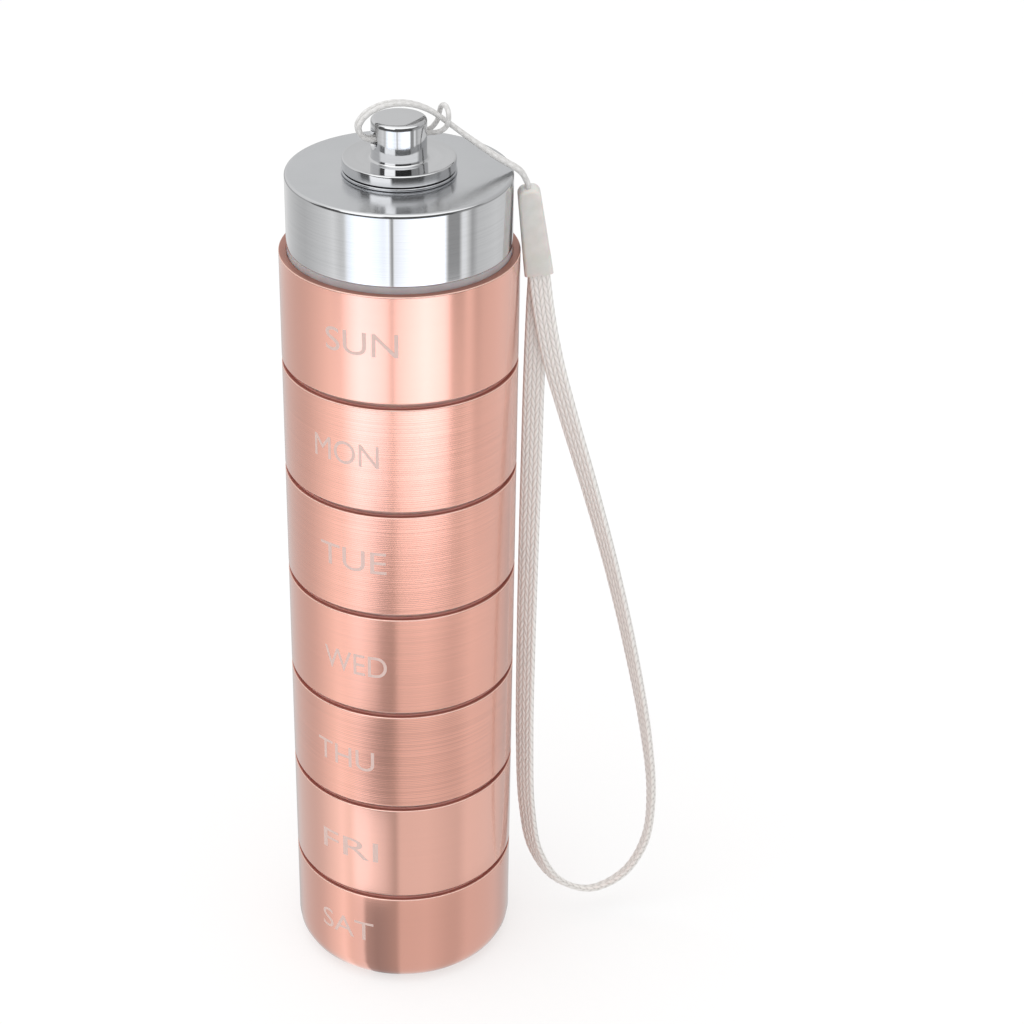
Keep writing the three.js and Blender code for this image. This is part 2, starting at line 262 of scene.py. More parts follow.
def bump(tree, shader, height, distance, strength=1):
    """Relief of a height from 0 to 1 over a depth in metres."""
    node = tree.nodes.new("ShaderNodeBump")
    node.inputs["Strength"].default_value = strength
    node.inputs["Distance"].default_value = distance
    tree.links.new(height, node.inputs["Height"])
    tree.links.new(node.outputs[0], shader.inputs["Normal"])


tails = {sign: [beside(p, sign * strand_offset) for p in tail_route] for sign in (1, -1)}
eyes = {sign: [beside(p, sign * p[3]) for p in eye_route] for sign in (1, -1)}
cord_route = [
    *tails[1], *eyes[1], tuple(Vector(eye_top) * mm), *reversed(eyes[-1]), *reversed(tails[-1]),
]
cord_line = evenly(smooth_line(cord_route, per_span=12), cord_step)

rings = []
side_way = Vector((0, 1, 0))
for place, (point, along) in enumerate(zip(cord_line, directions(cord_line))):
    side_way = (side_way - along * side_way.dot(along)).normalized()
    other_way = along.cross(side_way)
    ring = []
    for side in range(cord_sides):
        angle = 2 * math.pi * side / cord_sides
        lay = 2 * math.pi * place * cord_step / braid_pitch
        crossing = abs(math.sin(2 * angle + lay)) * abs(math.sin(2 * angle - lay))
        radius = cord_diameter / 2 * (braid_hollow + braid_swell * crossing)
        outward = math.cos(angle) * side_way + math.sin(angle) * other_way
        ring.append(Vector(point) + radius * outward)
    rings.append(ring)
hitch_cord = strand("hitch_cord_braided", rings, cord_step)

cord_finish, tree, shader = finish_named(
    "braided_cord_silver", roughness=0.42, sheen_weight=0.25, sheen_roughness=0.4,
    specular_ior_level=0.6,
)
uv_map = step_node(tree, "UVMap", uv_map="strand")
lay = step_node(tree, "Mapping", [uv_map, None, None, (4, 1 / braid_pitch, 1)])
right_lay = step_node(tree, "VectorMath", [lay, (1, 1, 0)], operation="DOT_PRODUCT", output="Value")
left_lay = step_node(tree, "VectorMath", [lay, (1, -1, 0)], operation="DOT_PRODUCT", output="Value")
right_wave = step_node(tree, "Math", [right_lay, 1.0], operation="PINGPONG")
left_wave = step_node(tree, "Math", [left_lay, 1.0], operation="PINGPONG")
weave = step_node(tree, "Math", [right_wave, left_wave], operation="MULTIPLY")
drawn = step_node(tree, "Mapping", [uv_map, None, None, (30, 2200, 1)])
threads = step_node(tree, "TexNoise", [drawn, None, 1.0, 3.0])
# Painted shade: the braid is painted a little darker along the dips between its crossing carriers.
colour = ramp(tree, weave, [
    (0.0, (0.68, 0.67, 0.655)), (0.28, (0.75, 0.74, 0.73)), (1.0, (0.80, 0.795, 0.785)),
])
shade = ramp(tree, threads, [(0.3, 0.84), (0.7, 1.0)])
tree.links.new(blend(tree, 1.0, colour, shade, "MULTIPLY"), shader.inputs["Base Color"])
relief = step_node(tree, "Math", [weave, threads], operation="ADD")
bump(tree, shader, relief, 0.02 * mm, 0.35)
hitch_cord.data.materials.append(cord_finish)
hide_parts("hitch_cord")
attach(hitch_cord, "post")


# Wrist loop. A flat braid of five plaited ribs in silver grey yarn, cut to one length and folded
# in two. Its ends lie one behind the other in the sleeve, and the loop hangs open under it.

braid_width = 2.6
braid_thickness = 0.8
braid_step = 0.18 * mm
braid_ribs = 5
half_face = 24
stitch_length = 1.15 * mm
groove_height = 0.76
rib_swell = 0.16
stitch_swell = 0.08
rib_fullness = 0.7
edge_squareness = 6
loop_route = [
    (15.95, -0.55, 96.9, 0), (16.2, -0.55, 95.0, 0), (16.9, -0.6, 90.0, 6), (18.1, -0.7, 84.0, 14),
    (20.3, -0.7, 76.0, 26), (23.2, -0.5, 66.0, 38), (26.3, -0.3, 54.5, 48), (29.2, -0.1, 42.0, 56),
    (31.6, 0, 29.5, 66), (32.7, 0, 19.5, 78), (32.1, 0, 12.0, 90), (29.3, 0, 6.6, 106),
    (24.9, 0, 4.2, 120), (20.6, 0, 5.9, 128), (17.6, 0.1, 10.8, 134), (16.3, 0.2, 18.0, 140),
    (15.8, 0.3, 29.0, 147), (15.7, 0.4, 43.0, 154), (15.75, 0.5, 57.0, 162),
    (15.85, 0.6, 70.0, 170), (15.95, 0.62, 82.0, 176), (16.1, 0.58, 90.5, 180),
    (16.2, 0.55, 95.0, 180), (15.95, 0.55, 96.9, 180),
]
loop_metres = [(x * mm, y * mm, z * mm, turn) for x, y, z, turn in loop_route]
loop_line = evenly(smooth_line(loop_metres, per_span=40), braid_step)

rings = []
for place, (point, along) in enumerate(zip(loop_line, directions(loop_line))):
    face_way = Vector((0, -1, 0))
    face_way = (face_way - along * face_way.dot(along)).normalized()
    face_way = Matrix.Rotation(math.radians(point[3]), 3, along) @ face_way
    width_way = along.cross(face_way)
    ring = []
    for side in range(2 * half_face):
        across = side / half_face * 2 - 1 if side < half_face else 3 - side / half_face * 2
        rib = (across + 1) / 2 * braid_ribs
        column = min(int(rib), braid_ribs - 1)
        lean = (rib - column - 0.5) * (1 if column % 2 else -1)
        knit = math.cos(2 * math.pi * (place * braid_step / stitch_length + lean + column / 2))
        crown = abs(math.sin(math.pi * rib)) ** rib_fullness
        relief = groove_height + rib_swell * crown + stitch_swell * crown * knit
        height = (1 - abs(across) ** edge_squareness) ** 0.5 * relief
        height *= braid_thickness / 2 * (1 if side < half_face else -1)
        aside = width_way * across * braid_width / 2
        ring.append(Vector(point[:3]) + (aside + face_way * height) * mm)
    rings.append(ring)
wrist_loop = strand("wrist_loop_braided", rings, braid_step)

braid_finish, tree, shader = finish_named(
    "flat_braid_silver", roughness=0.36, sheen_weight=0.2, sheen_roughness=0.35,
    specular_ior_level=0.7,
)
uv_map = step_node(tree, "UVMap", uv_map="strand")
parts = split(tree, uv_map)
rib = step_node(tree, "Math", [parts[0], 2 * braid_ribs], operation="MULTIPLY")
within = step_node(tree, "Math", [rib], operation="FRACT")
column = step_node(tree, "Math", [rib], operation="FLOOR")
parity = step_node(tree, "Math", [column, 2.0], operation="FLOORED_MODULO")
lean_way = step_node(tree, "Math", [parity, 2.0, -1.0], operation="MULTIPLY_ADD")
lean = step_node(tree, "Math", [within, 0.5], operation="SUBTRACT")
lean = step_node(tree, "Math", [lean, lean_way], operation="MULTIPLY")
lift = step_node(tree, "Math", [parity, 0.5, lean], operation="MULTIPLY_ADD")
stitches = step_node(tree, "Math", [parts[1], 1 / stitch_length, lift], operation="MULTIPLY_ADD")
knit = step_node(tree, "Math", [stitches, 0.5], operation="PINGPONG")
crown = step_node(tree, "Math", [within, 0.5], operation="PINGPONG")
# Painted shade: the gaps between stitches and the grooves between ribs are painted dark, and the
# thread noise adds the yarn's own tone.
painted_stitch_shade = ramp(tree, knit, [(0.0, 0.42), (0.16, 0.8), (0.32, 1.0)])
painted_groove_shade = ramp(tree, crown, [(0.0, 0.40), (0.14, 0.72), (0.32, 1.0)])
drawn = step_node(tree, "Mapping", [uv_map, None, None, (170, 900, 1)])
threads = step_node(tree, "TexNoise", [drawn, None, 1.0, 2.0])
thread_shade = ramp(tree, threads, [(0.3, 0.80), (0.7, 1.0)])
painted_shade_and_threads = step_node(tree, "Math", [painted_stitch_shade, painted_groove_shade], operation="MULTIPLY")
painted_shade_and_threads = step_node(tree, "Math", [painted_shade_and_threads, thread_shade], operation="MULTIPLY")
paint(tree, shader, painted_shade_and_threads, [
    (0.0, (0.28, 0.26, 0.24)), (0.4, (0.72, 0.70, 0.67)), (1.0, (0.95, 0.935, 0.905)),
])
bump(tree, shader, painted_shade_and_threads, 0.08 * mm, 0.6)
wrist_loop.data.materials.append(braid_finish)
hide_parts("wrist_loop")
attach(wrist_loop, "post")


# Crimp sleeve. A moulded ivory plastic clip, a tapered block with a rounded narrow end. The two
# cord ends enter it there and the loop's ends enter its open wide end, and it is pressed shut.

sleeve_length = 10.6
sleeve_narrow = 2.6
sleeve_wide = 3.4
sleeve_thickness = 2.8
sleeve_edge = 0.4
sleeve_end_round = 0.36 * sleeve_narrow
sleeve_wall = 0.3
pocket_length = 2.5
pocket_edge = 0.07
tail_clearance = 0.3

tail_end = Vector(tail_route[1])
loop_ends = Vector(loop_route[0][:3]).lerp(Vector(loop_route[-1][:3]), 0.5)
sleeve_up = (tail_end - loop_ends).normalized()
sleeve_front = Vector((0, -1, 0))
sleeve_across = sleeve_up.cross(sleeve_front)

shape = bmesh.new()
bmesh.ops.create_cube(shape, size=1)
bmesh.ops.translate(shape, verts=shape.verts, vec=(0, 0.5, 0))
bmesh.ops.scale(shape, verts=shape.verts, vec=(sleeve_wide, sleeve_length, sleeve_thickness))
narrow_end = [v for v in shape.verts if v.co.y > 1]
bmesh.ops.scale(shape, verts=narrow_end, vec=(sleeve_narrow / sleeve_wide, 1, 1))
end_corners = [
    e for e in shape.edges
    if all(v in narrow_end for v in e.verts) and abs(e.verts[0].co.x - e.verts[1].co.x) < 0.01
]
bmesh.ops.bevel(
    shape, geom=end_corners, offset=sleeve_end_round, offset_type="OFFSET", segments=8,
    profile=0.5, affect="EDGES", material=-1,
)
rims = [
    e for e in shape.edges
    if abs(e.verts[0].co.z - e.verts[1].co.z) < 0.01 and max(v.co.y for v in e.verts) > 0.01
]
bmesh.ops.bevel(
    shape, geom=rims, offset=sleeve_edge, offset_type="OFFSET", segments=4, profile=0.5,
    affect="EDGES", material=-1,
)
open_end = [f for f in shape.faces if f.calc_center_median().y < 0.001]
bmesh.ops.inset_region(shape, faces=open_end, thickness=sleeve_wall, use_even_offset=True)
pocket = bmesh.ops.extrude_discrete_faces(shape, faces=open_end)["faces"]
pocket_end = list({v for f in pocket for v in f.verts})
bmesh.ops.translate(shape, verts=pocket_end, vec=(0, pocket_length, 0))
mouth_edges = [
    e for e in shape.edges
    if all(v.co.y < 0.001 for v in e.verts) and e.calc_face_angle(0) > 0.5
]
bmesh.ops.bevel(
    shape, geom=mouth_edges, offset=pocket_edge, offset_type="OFFSET", segments=2, profile=0.5,
    affect="EDGES", material=-1,
)
bmesh.ops.scale(shape, verts=shape.verts, vec=(mm, mm, mm))
sleeve_place = (tail_end - sleeve_up * (tail_clearance + sleeve_length)) * mm
bmesh.ops.transform(
    shape, verts=shape.verts, matrix=Matrix.Translation(sleeve_place)
    @ Matrix((sleeve_across, sleeve_up, sleeve_front)).transposed().to_4x4(),
)
bmesh.ops.recalc_face_normals(shape, faces=shape.faces)
sleeve = made_object("sleeve_moulded", shape, 50)

sleeve_finish, tree, shader = finish_named(
    "ivory_moulded", roughness=0.38, subsurface_weight=0.25, subsurface_scale=0.0012,
)
place = step_node(tree, "TexCoord", output="Object")
mottle = step_node(tree, "TexNoise", [place, None, 900.0, 3.0])
paint(tree, shader, mottle, [(0.3, (0.66, 0.645, 0.61)), (0.7, (0.72, 0.705, 0.675))])
grain = step_node(tree, "TexNoise", [place, None, 9000.0, 2.0])
bump(tree, shader, grain, 0.004 * mm, 0.5)
sleeve.data.materials.append(sleeve_finish)
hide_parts("crimp_sleeve")
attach(sleeve, "post")


# Cups. Seven turned aluminium cups, anodised rose, one for each day. The lowest stands on a
# rounded foot, and each other one screws into the mouth below with the threaded neck under its
# collar. Fine turning lines run round the walls.

cup_radius = 14.0
cup_pitch = 14.1
base_height = 14.0
rim_round = 0.14
rim_drop = 0.16
rim_step = 13.5
edge_round = 0.14
seat_radius = 13.1
seat_depth = 0.9
collar_radius = 11.9
collar_depth = 0.55
thread_root = 11.4
thread_depth = 0.5
thread_pitch = 2.0
thread_runout = 0.4
mouth_bore = 11.65
neck_bore = 10.65
neck_length = 3.6
neck_tip = 11.15
seam_gap = 0.55
cup_floor = -2.7
floor_round = 0.6
foot_round = 3.0
foot_floor = 1.2
neck_thread = (-3.35, -0.95)
mouth_thread = (-3.7, -0.9)
turned_sides = 144
round_segments = 5
guard_share = 1.6
guard_least = 0.02
guard_span = 4
rim_band = 0.15
outward_weight = 70
days = ["sat", "fri", "thu", "wed", "tue", "mon", "sun"]


def ridge(x, y, from_seam):
    """How high the thread's ridge stands, 0 to 1, at a height from the seam."""
    turn = math.atan2(y, x) / (2 * math.pi) + 0.25
    return (1 + math.cos(2 * math.pi * (from_seam / thread_pitch - turn))) / 2


def rows(radius, bottom, top, count):
    """Points straight up a threaded wall."""
    return [(radius, bottom + (top - bottom) * k / (count - 1), 0) for k in range(count)]


def guarded(outline, whole):
    """An outline with a point beyond each end of a rounding, so that the shading stays flat."""
    line = []
    for a, b in zip(outline, outline[1:] + (outline[:1] if whole else [])):
        span = math.dist(a[:2], b[:2])
        line.append(a)
        for end, other in ((a, b), (b, a)):
            share = (guard_share * end[2] + guard_least) / span
            if end[2] and span > guard_span * (a[2] + b[2]):
                line.append((*(p + (q - p) * share for p, q in zip(end[:2], other[:2])), 0))
    return line if whole else line + [outline[-1]]


def turned(name, outline, level, whole=False, threads=(), sides=turned_sides):
    """A piece turned from its outline of radius, height and rounding, in millimetres above a level.

    A thread is its wall's radius, its two ends, and the seam plane that its ridge starts from."""
    outline = guarded(outline, whole)
    shape = bmesh.new()
    corners = [shape.verts.new((radius, 0, height)) for radius, height, _ in outline]
    for a, b in zip(corners, corners[1:] + (corners[:1] if whole else [])):
        shape.edges.new((a, b))
    for size in sorted({rounding for _, _, rounding in outline if rounding}):
        bmesh.ops.bevel(
            shape, geom=[v for v, point in zip(corners, outline) if point[2] == size], offset=size,
            offset_type="OFFSET", segments=round_segments, profile=0.5, affect="VERTICES",
            material=-1,
        )
    bmesh.ops.spin(
        shape, geom=shape.verts[:] + shape.edges[:], cent=(0, 0, 0), axis=(0, 0, 1),
        angle=2 * math.pi, steps=sides, use_merge=True,
    )
    bmesh.ops.remove_doubles(shape, verts=shape.verts, dist=1e-4)
    for radius, bottom, top, seam in threads:
        for vertex in shape.verts:
            x, y, z = vertex.co
            if bottom - 0.01 < z < top + 0.01 and abs(math.hypot(x, y) - radius) < 0.01:
                fade = min(1, max(0, min(z - bottom, top - z) / thread_runout))
                raised_to = radius + thread_depth * ridge(x, y, z - seam) * fade
                vertex.co.xy *= raised_to / radius
    bmesh.ops.scale(shape, verts=shape.verts, vec=(mm, mm, mm))
    bmesh.ops.translate(shape, verts=shape.verts, vec=(0, 0, level * mm))
    bmesh.ops.recalc_face_normals(shape, faces=shape.faces)
    return made_object(name, shape)


def turning_lines(tree, spacing, reach, detail=3.0):
    """Fine scratches of a cutting tool, a spacing apart and running a reach round the axis."""
    place = step_node(tree, "TexCoord", output="Object")
    drawn = step_node(tree, "Mapping", [place, None, None, (1 / reach, 1 / reach, 1 / spacing)])
    return place, step_node(tree, "TexNoise", [drawn, None, 1.0, detail, 0.6])


def along_axis(tree, place, shader):
    """Blurs a turned metal's reflections square to its turning lines.

    That is along the axis on a wall, and straight outwards on a flat face."""
    outward = (outward_weight, outward_weight, 0)
    spread = step_node(tree, "VectorMath", [place, outward], operation="MULTIPLY")
    way = step_node(tree, "VectorMath", [spread, (0, 0, 1)], operation="ADD")
    way = step_node(
        tree, "VectorTransform", [way], vector_type="VECTOR", convert_from="OBJECT",
        convert_to="WORLD",
    )
    tree.links.new(way, shader.inputs["Tangent"])


tool_feed = 0.26 * mm
feed_scale = 2 * math.pi / (20 * tool_feed)
line_relief = 0.012 * mm
line_contrast = 0.10
# The lines' colour contrast and relief are at full strength on the front only, and their colour
# there is a painted glint of the lines in the front highlights. They strengthen between these two
# places toward it.
front_glint_from = -0.0112
front_glint_to = -0.0127


def rose_anodised(day, lines, pale, rough):
    """The cups' finish, with how deep its turning lines are, how pale the cup is and how rough."""
    finish, tree, shader = finish_named(
        "rose_anodised_" + day, metallic=1.0, roughness=rough, anisotropic=0.5,
        coat_weight=0.75, coat_roughness=0.08, coat_ior=1.5,
    )
    place, fine = turning_lines(tree, 0.25 * mm, 34 * mm, 1.0)
    along_axis(tree, place, shader)
    toward = split(tree, place)[1]
    # Painted glint: the lines' colour contrast, and their relief, grow toward the front.
    line_strength_and_glint = step_node(tree, "MapRange", [toward, front_glint_from, front_glint_to, 0.3, 1.0])
    feed = step_node(
        tree, "TexWave", [place, feed_scale, 1.2, 1.0, 70.0], output="Fac", wave_type="BANDS",
        bands_direction="Z",
    )
    cut_lines = step_node(tree, "Math", [feed, 0.4, fine], operation="MULTIPLY_ADD")
    cut_lines = step_node(tree, "Math", [cut_lines, 0.7], operation="SUBTRACT")
    cut_lines = step_node(tree, "Math", [cut_lines, line_strength_and_glint, 0.5], operation="MULTIPLY_ADD")
    rose = (0.90 + 0.03 * pale, 0.455 + 0.05 * pale, 0.355 + 0.05 * pale)
    dark = tuple(c * (1 - line_contrast * lines) for c in rose)
    light = tuple(min(1, c * (1 + line_contrast * lines)) for c in rose)
    paint(tree, shader, cut_lines, [(0.34, dark), (0.5, rose), (0.66, light)])
    bump(tree, shader, cut_lines, line_relief, 0.05 + 0.75 * lines)
    return finish


mouth = [
    (cup_radius, -rim_drop, rim_round), (rim_step, -rim_drop, 0), (seat_radius, -rim_drop, 0.08),
    (seat_radius, -seat_depth, 0),
    *reversed(rows(mouth_bore, *mouth_thread, 15)),
]
neck = [
    (0, -neck_length, 0), (neck_tip, -neck_length, 0.1), *rows(thread_root, *neck_thread, 13),
    (collar_radius, -collar_depth, 0), (collar_radius, seam_gap, 0),
]
cone_top = seam_gap + seat_depth
cup_outline = [
    *neck, (cup_radius, seam_gap, edge_round), *[(r, cup_pitch + z, b) for r, z, b in mouth],
    (mouth_bore, cone_top, 0.3), (neck_bore, cone_top - mouth_bore + neck_bore, 0.3),
    (neck_bore, cup_floor, floor_round), (0, cup_floor, 0),
]
base_outline = [
    (0, 0, 0), (cup_radius, 0, foot_round), *[(r, base_height + z, b) for r, z, b in mouth],
    (mouth_bore, foot_floor, floor_round), (0, foot_floor, 0),
]
# How deep each cup's turning lines are, how pale it is and how rough
looks = {
    "sat": (0.06, 0.0, 0.14), "fri": (0.08, 1.0, 0.13), "thu": (0.80, 0.0, 0.15),
    "wed": (0.30, 0.0, 0.18), "tue": (0.70, 0.1, 0.20), "mon": (0.65, 0.2, 0.21),
    "sun": (0.08, 0.3, 0.22),
}
mouth_ends = tuple(cup_pitch + z for z in mouth_thread)

# Painted light and shade on the rims, in four copies of the one rose metal. The step inside each
# rim between the cups is painted light for the shaded gap, the top cup's open rim is painted shade,
# the outer edge of each rim is a painted shadow line, and the roundings at each seam are a painted
# highlight.
painted_rim_finishes = {}
for name, metallic, dark, light in (
    ("rose_rim_step_painted_light", 0.4, (0.84, 0.53, 0.48), (0.94, 0.60, 0.54)),
    ("rose_rim_open_painted_shade", 0.7, (0.40, 0.19, 0.15), (0.48, 0.235, 0.185)),
    ("rose_rim_edge_painted_shadow", 0.5, (0.42, 0.17, 0.14), (0.50, 0.21, 0.17)),
    ("rose_lip_painted_highlight", 0.75, (0.92, 0.60, 0.50), (0.97, 0.67, 0.57)),
):
    painted_rim_finish, tree, shader = finish_named(name, metallic=metallic, roughness=0.4)
    place, fine = turning_lines(tree, 0.2 * mm, 6 * mm)
    paint(tree, shader, fine, [(0.3, dark), (0.7, light)])
    bump(tree, shader, fine, 0.004 * mm, 0.3)
    painted_rim_finishes[name] = painted_rim_finish
on_painted_step, on_painted_shadow, on_painted_highlight = 1, 2, 3

for place, day in enumerate(days):
    seam = base_height + cup_pitch * (place - 1)
    if day == "sat":
        base_ends = tuple(base_height + z for z in mouth_thread)
        threads = [(mouth_bore, *base_ends, base_height)]
        cup = turned("cup_sat_turned", base_outline, 0, threads=threads)
    else:
        threads = [(thread_root, *neck_thread, 0), (mouth_bore, *mouth_ends, cup_pitch)]
        cup = turned(f"cup_{day}_turned", cup_outline, seam, threads=threads)
    cup.data.materials.append(rose_anodised(day, *looks[day]))
    painted_step_name = "rose_rim_open_painted_shade" if day == "sun" else "rose_rim_step_painted_light"
    for name in (painted_step_name, "rose_rim_edge_painted_shadow", "rose_lip_painted_highlight"):
        cup.data.materials.append(painted_rim_finishes[name])
    rim_height = (base_height + cup_pitch * place - rim_drop - rim_band) * mm
    # Painted light by face: a flat rim face inside the step gets the painted light, or on the top
    # cup the painted shade; outside the step it gets the painted shadow line. Roundings get the
    # painted highlight.
    for face in cup.data.polygons:
        tilt, reach = face.normal.z, math.hypot(*face.center[:2]) / mm
        if face.center.z > rim_height and reach > seat_radius - 0.1:
            if tilt > 0.8:
                face.material_index = on_painted_step if day == "sun" or reach < rim_step else on_painted_shadow
            elif 0.1 < tilt < 0.72:
                face.material_index = on_painted_highlight
        elif day != "sat" and -0.95 < tilt < -0.1 and reach > cup_radius - edge_round:
            face.material_index = on_painted_highlight
    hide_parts("cup_" + day)
    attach(cup, "cup_" + day)


# Sealing rings. Seven translucent silicone rings, painted lighter and rosier between the cups as
# painted light in the shaded gaps, and grey under the cap. Each lies in the seat round a mouth,
# squeezed by the piece that screws in.

seal_outer = 13.04
seal_inner = 12.1
seal_end = 0.1
seal_squeeze = 0.02
cap_seam_gap = 0.65

seal_finishes = {}
# Painted light: the rosy silicone is the grey one painted lighter and rosier, for the shaded gaps
# between the cups.
for name, dark, light in (
    ("silicone_painted_light_rosy", (0.74, 0.50, 0.46), (0.84, 0.58, 0.53)),
    ("silicone_grey", (0.50, 0.46, 0.47), (0.58, 0.54, 0.55)),
):
    seal_finish, tree, shader = finish_named(
        name, roughness=0.45, transmission_weight=0.15, subsurface_weight=0.3,
        subsurface_scale=0.001, ior=1.41,
    )
    place = step_node(tree, "TexCoord", output="Object")
    cloud = step_node(tree, "TexNoise", [place, None, 500.0, 2.0])
    paint(tree, shader, cloud, [(0.3, dark), (0.7, light)])
    grain = step_node(tree, "TexNoise", [place, None, 6000.0, 2.0])
    bump(tree, shader, grain, 0.006 * mm, 0.4)
    seal_finishes[name] = seal_finish

for place, above in enumerate([*days[1:], None]):
    node = f"seal_{above}" if above else "cap_seal"
    top = (seam_gap if above else cap_seam_gap) - seal_squeeze
    bottom = seal_end - seat_depth
    ring_outline = [
        (seal_inner, bottom, 0.12), (seal_outer, bottom, 0.12), (seal_outer, top, 0.06),
        (seal_inner, top, 0.06),
    ]
    rim = base_height + cup_pitch * place
    ring = turned(node + "_moulded", ring_outline, rim, whole=True, sides=96)
    ring.data.materials.append(seal_finishes["silicone_painted_light_rosy" if above else "silicone_grey"])
    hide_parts(node)
    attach(ring, node)


# Cap shell. A turned and chrome plated cup, upside down, with a hole in its top for the post. Its
# wall is polished like a mirror, and its top keeps a soft satin from the facing cut.

cap_seam = base_height + cup_pitch * (len(days) - 1)
cap_top = 9.25
cap_ceiling = 7.85
cap_bore = 12.2
post_hole = 2.1

shell_outline = [
    (cap_bore, cap_seam_gap, 0.1), (cap_radius, cap_seam_gap, 0.1), (cap_radius, cap_top, 0.32),
    (post_hole, cap_top, 0.1), (post_hole, cap_ceiling, 0.1), (cap_bore, cap_ceiling, 0.4),
]
cap_shell = turned("cap_shell_plated", shell_outline, cap_seam, whole=True)

mirror_finish, tree, shader = finish_named(
    "chrome_mirror", metallic=1.0, roughness=0.06, anisotropic=0.5,
)
place, fine = turning_lines(tree, 0.14 * mm, 14 * mm)
along_axis(tree, place, shader)
paint(tree, shader, fine, [(0.3, (0.585, 0.59, 0.60)), (0.6, (0.625, 0.63, 0.64))])
bump(tree, shader, fine, 0.002 * mm, 0.3)

satin_finish, tree, shader = finish_named(
    "chrome_satin", metallic=1.0, roughness=0.17, anisotropic=0.6,
)
place, fine = turning_lines(tree, 0.3 * mm, 12 * mm)
along_axis(tree, place, shader)
rings_cut = step_node(
    tree, "TexWave", [place, 900.0, 1.5, 2.0, 1.0], output="Fac", wave_type="RINGS",
    rings_direction="Z",
)
paint(tree, shader, fine, [(0.3, (0.575, 0.585, 0.60)), (0.7, (0.62, 0.63, 0.645))])
bump(tree, shader, rings_cut, 0.002 * mm, 0.25)
cap_shell.data.materials.append(mirror_finish)
cap_shell.data.materials.append(satin_finish)
for face in cap_shell.data.polygons:
    if face.normal.z > 0.92 and face.center.z > (cap_seam + cap_top - 0.05) * mm:
        face.material_index = 1
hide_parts("cap_shell")
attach(cap_shell, "cap")


# Cap plug. A bare aluminium ring, pressed up into the shell. It carries the cap's threaded neck,
# and its bore is open, so that the top cup gains the room inside.

plug_radius = 12.1
plug_top = 7.75

plug_outline = [
    (neck_bore, -neck_length, 0.1), *neck[1:-1], (collar_radius, cap_seam_gap, 0.05),
    (plug_radius, cap_seam_gap, 0.05), (plug_radius, plug_top, 0.15), (neck_bore, plug_top, 0.15),
]
threads = [(thread_root, *neck_thread, 0)]
cap_plug = turned("cap_plug_turned", plug_outline, cap_seam, whole=True, threads=threads)

bare_finish, tree, shader = finish_named(
    "aluminium_bare", metallic=1.0, roughness=0.32, anisotropic=0.5,
)
place, fine = turning_lines(tree, 0.16 * mm, 8 * mm)
along_axis(tree, place, shader)
paint(tree, shader, fine, [(0.3, (0.62, 0.625, 0.63)), (0.7, (0.76, 0.765, 0.77))])
bump(tree, shader, fine, 0.006 * mm, 0.5)
cap_plug.data.materials.append(bare_finish)
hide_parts("cap_plug")
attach(cap_plug, "cap")


# Post washer. A thin pressed washer of plated steel. It lies loose on the cap, round the post's
# shank, and the flange runs on it.

washer_radius = 6.62
washer_bottom = 9.3
washer_top = 9.62

washer_outline = [
    (post_hole, washer_bottom, 0.05), (washer_radius, washer_bottom, 0.08),
    (washer_radius, washer_top, 0.14), (post_hole, washer_top, 0.05),
]
washer = turned("post_washer_pressed", washer_outline, cap_seam, whole=True)

steel_finish, tree, shader = finish_named("steel_plated", metallic=1.0, roughness=0.22)
place, fine = turning_lines(tree, 0.2 * mm, 3 * mm)
paint(tree, shader, fine, [(0.3, (0.42, 0.43, 0.45)), (0.7, (0.60, 0.61, 0.63))])
bump(tree, shader, fine, 0.004 * mm, 0.5)
washer.data.materials.append(steel_finish)
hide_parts("post_washer")
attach(washer, "cap")


# Lanyard post. A turned and chrome plated stud: a flange with a stem above it and a shank below,
# which stands in the cap's hole and turns freely. A cross hole through the stem takes the cord.

flange_radius = 6.55
flange_bottom = 9.75
flange_top = 10.85
flange_rim = 11.1
stem_radius = 3.2
stem_top = 15.65
shank_radius = 1.9
shank_bottom = 7.65
tap_radius = 1.25
tap_top = 11.55
cross_hole_radius = 1.0
cross_hole_height = 13.5
cutter_flare = 1.9
cutter_reach = 4.2
flare_from = 2.75

post_outline = [
    (0, tap_top, 0), (tap_radius, tap_top, 0), (tap_radius, shank_bottom, 0.1),
    (shank_radius, shank_bottom, 0.1), (shank_radius, flange_bottom, 0.1),
    (flange_radius, flange_bottom, 0.14), (flange_radius, flange_rim, 0.2),
    (stem_radius, flange_top, 0.3), (stem_radius, stem_top, 0.38), (0, stem_top, 0),
]
post = turned("lanyard_post_turned", post_outline, cap_seam)
bore_outline = [
    (0, -cutter_reach, 0), (cutter_flare, -cutter_reach, 0),
    (cross_hole_radius, -flare_from, 0.3), (cross_hole_radius, flare_from, 0.3),
    (cutter_flare, cutter_reach, 0), (0, cutter_reach, 0),
]
bore = turned("cross_hole_cutter", bore_outline, 0, sides=48)
hole_place = Matrix.Translation((0, 0, (cap_seam + cross_hole_height) * mm))
hole_turn = Matrix.Rotation(math.radians(cross_hole_azimuth), 4, "Z")
bore.data.transform(hole_place @ hole_turn @ Matrix.Rotation(math.pi / 2, 4, "Y"))
cut = post.modifiers.new("cross_hole", "BOOLEAN")
cut.operation = "DIFFERENCE"
cut.solver = "EXACT"
cut.object = bore
drilled = bpy.data.meshes.new_from_object(post.evaluated_get(bpy.context.evaluated_depsgraph_get()))
post.modifiers.clear()
post.data = drilled
bpy.data.objects.remove(bore)
post.data.shade_smooth()
post.data.set_sharp_from_angle(angle=math.radians(35))
post.data.materials.clear()
post.data.materials.append(mirror_finish)
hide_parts("lanyard_post")
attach(post, "post")


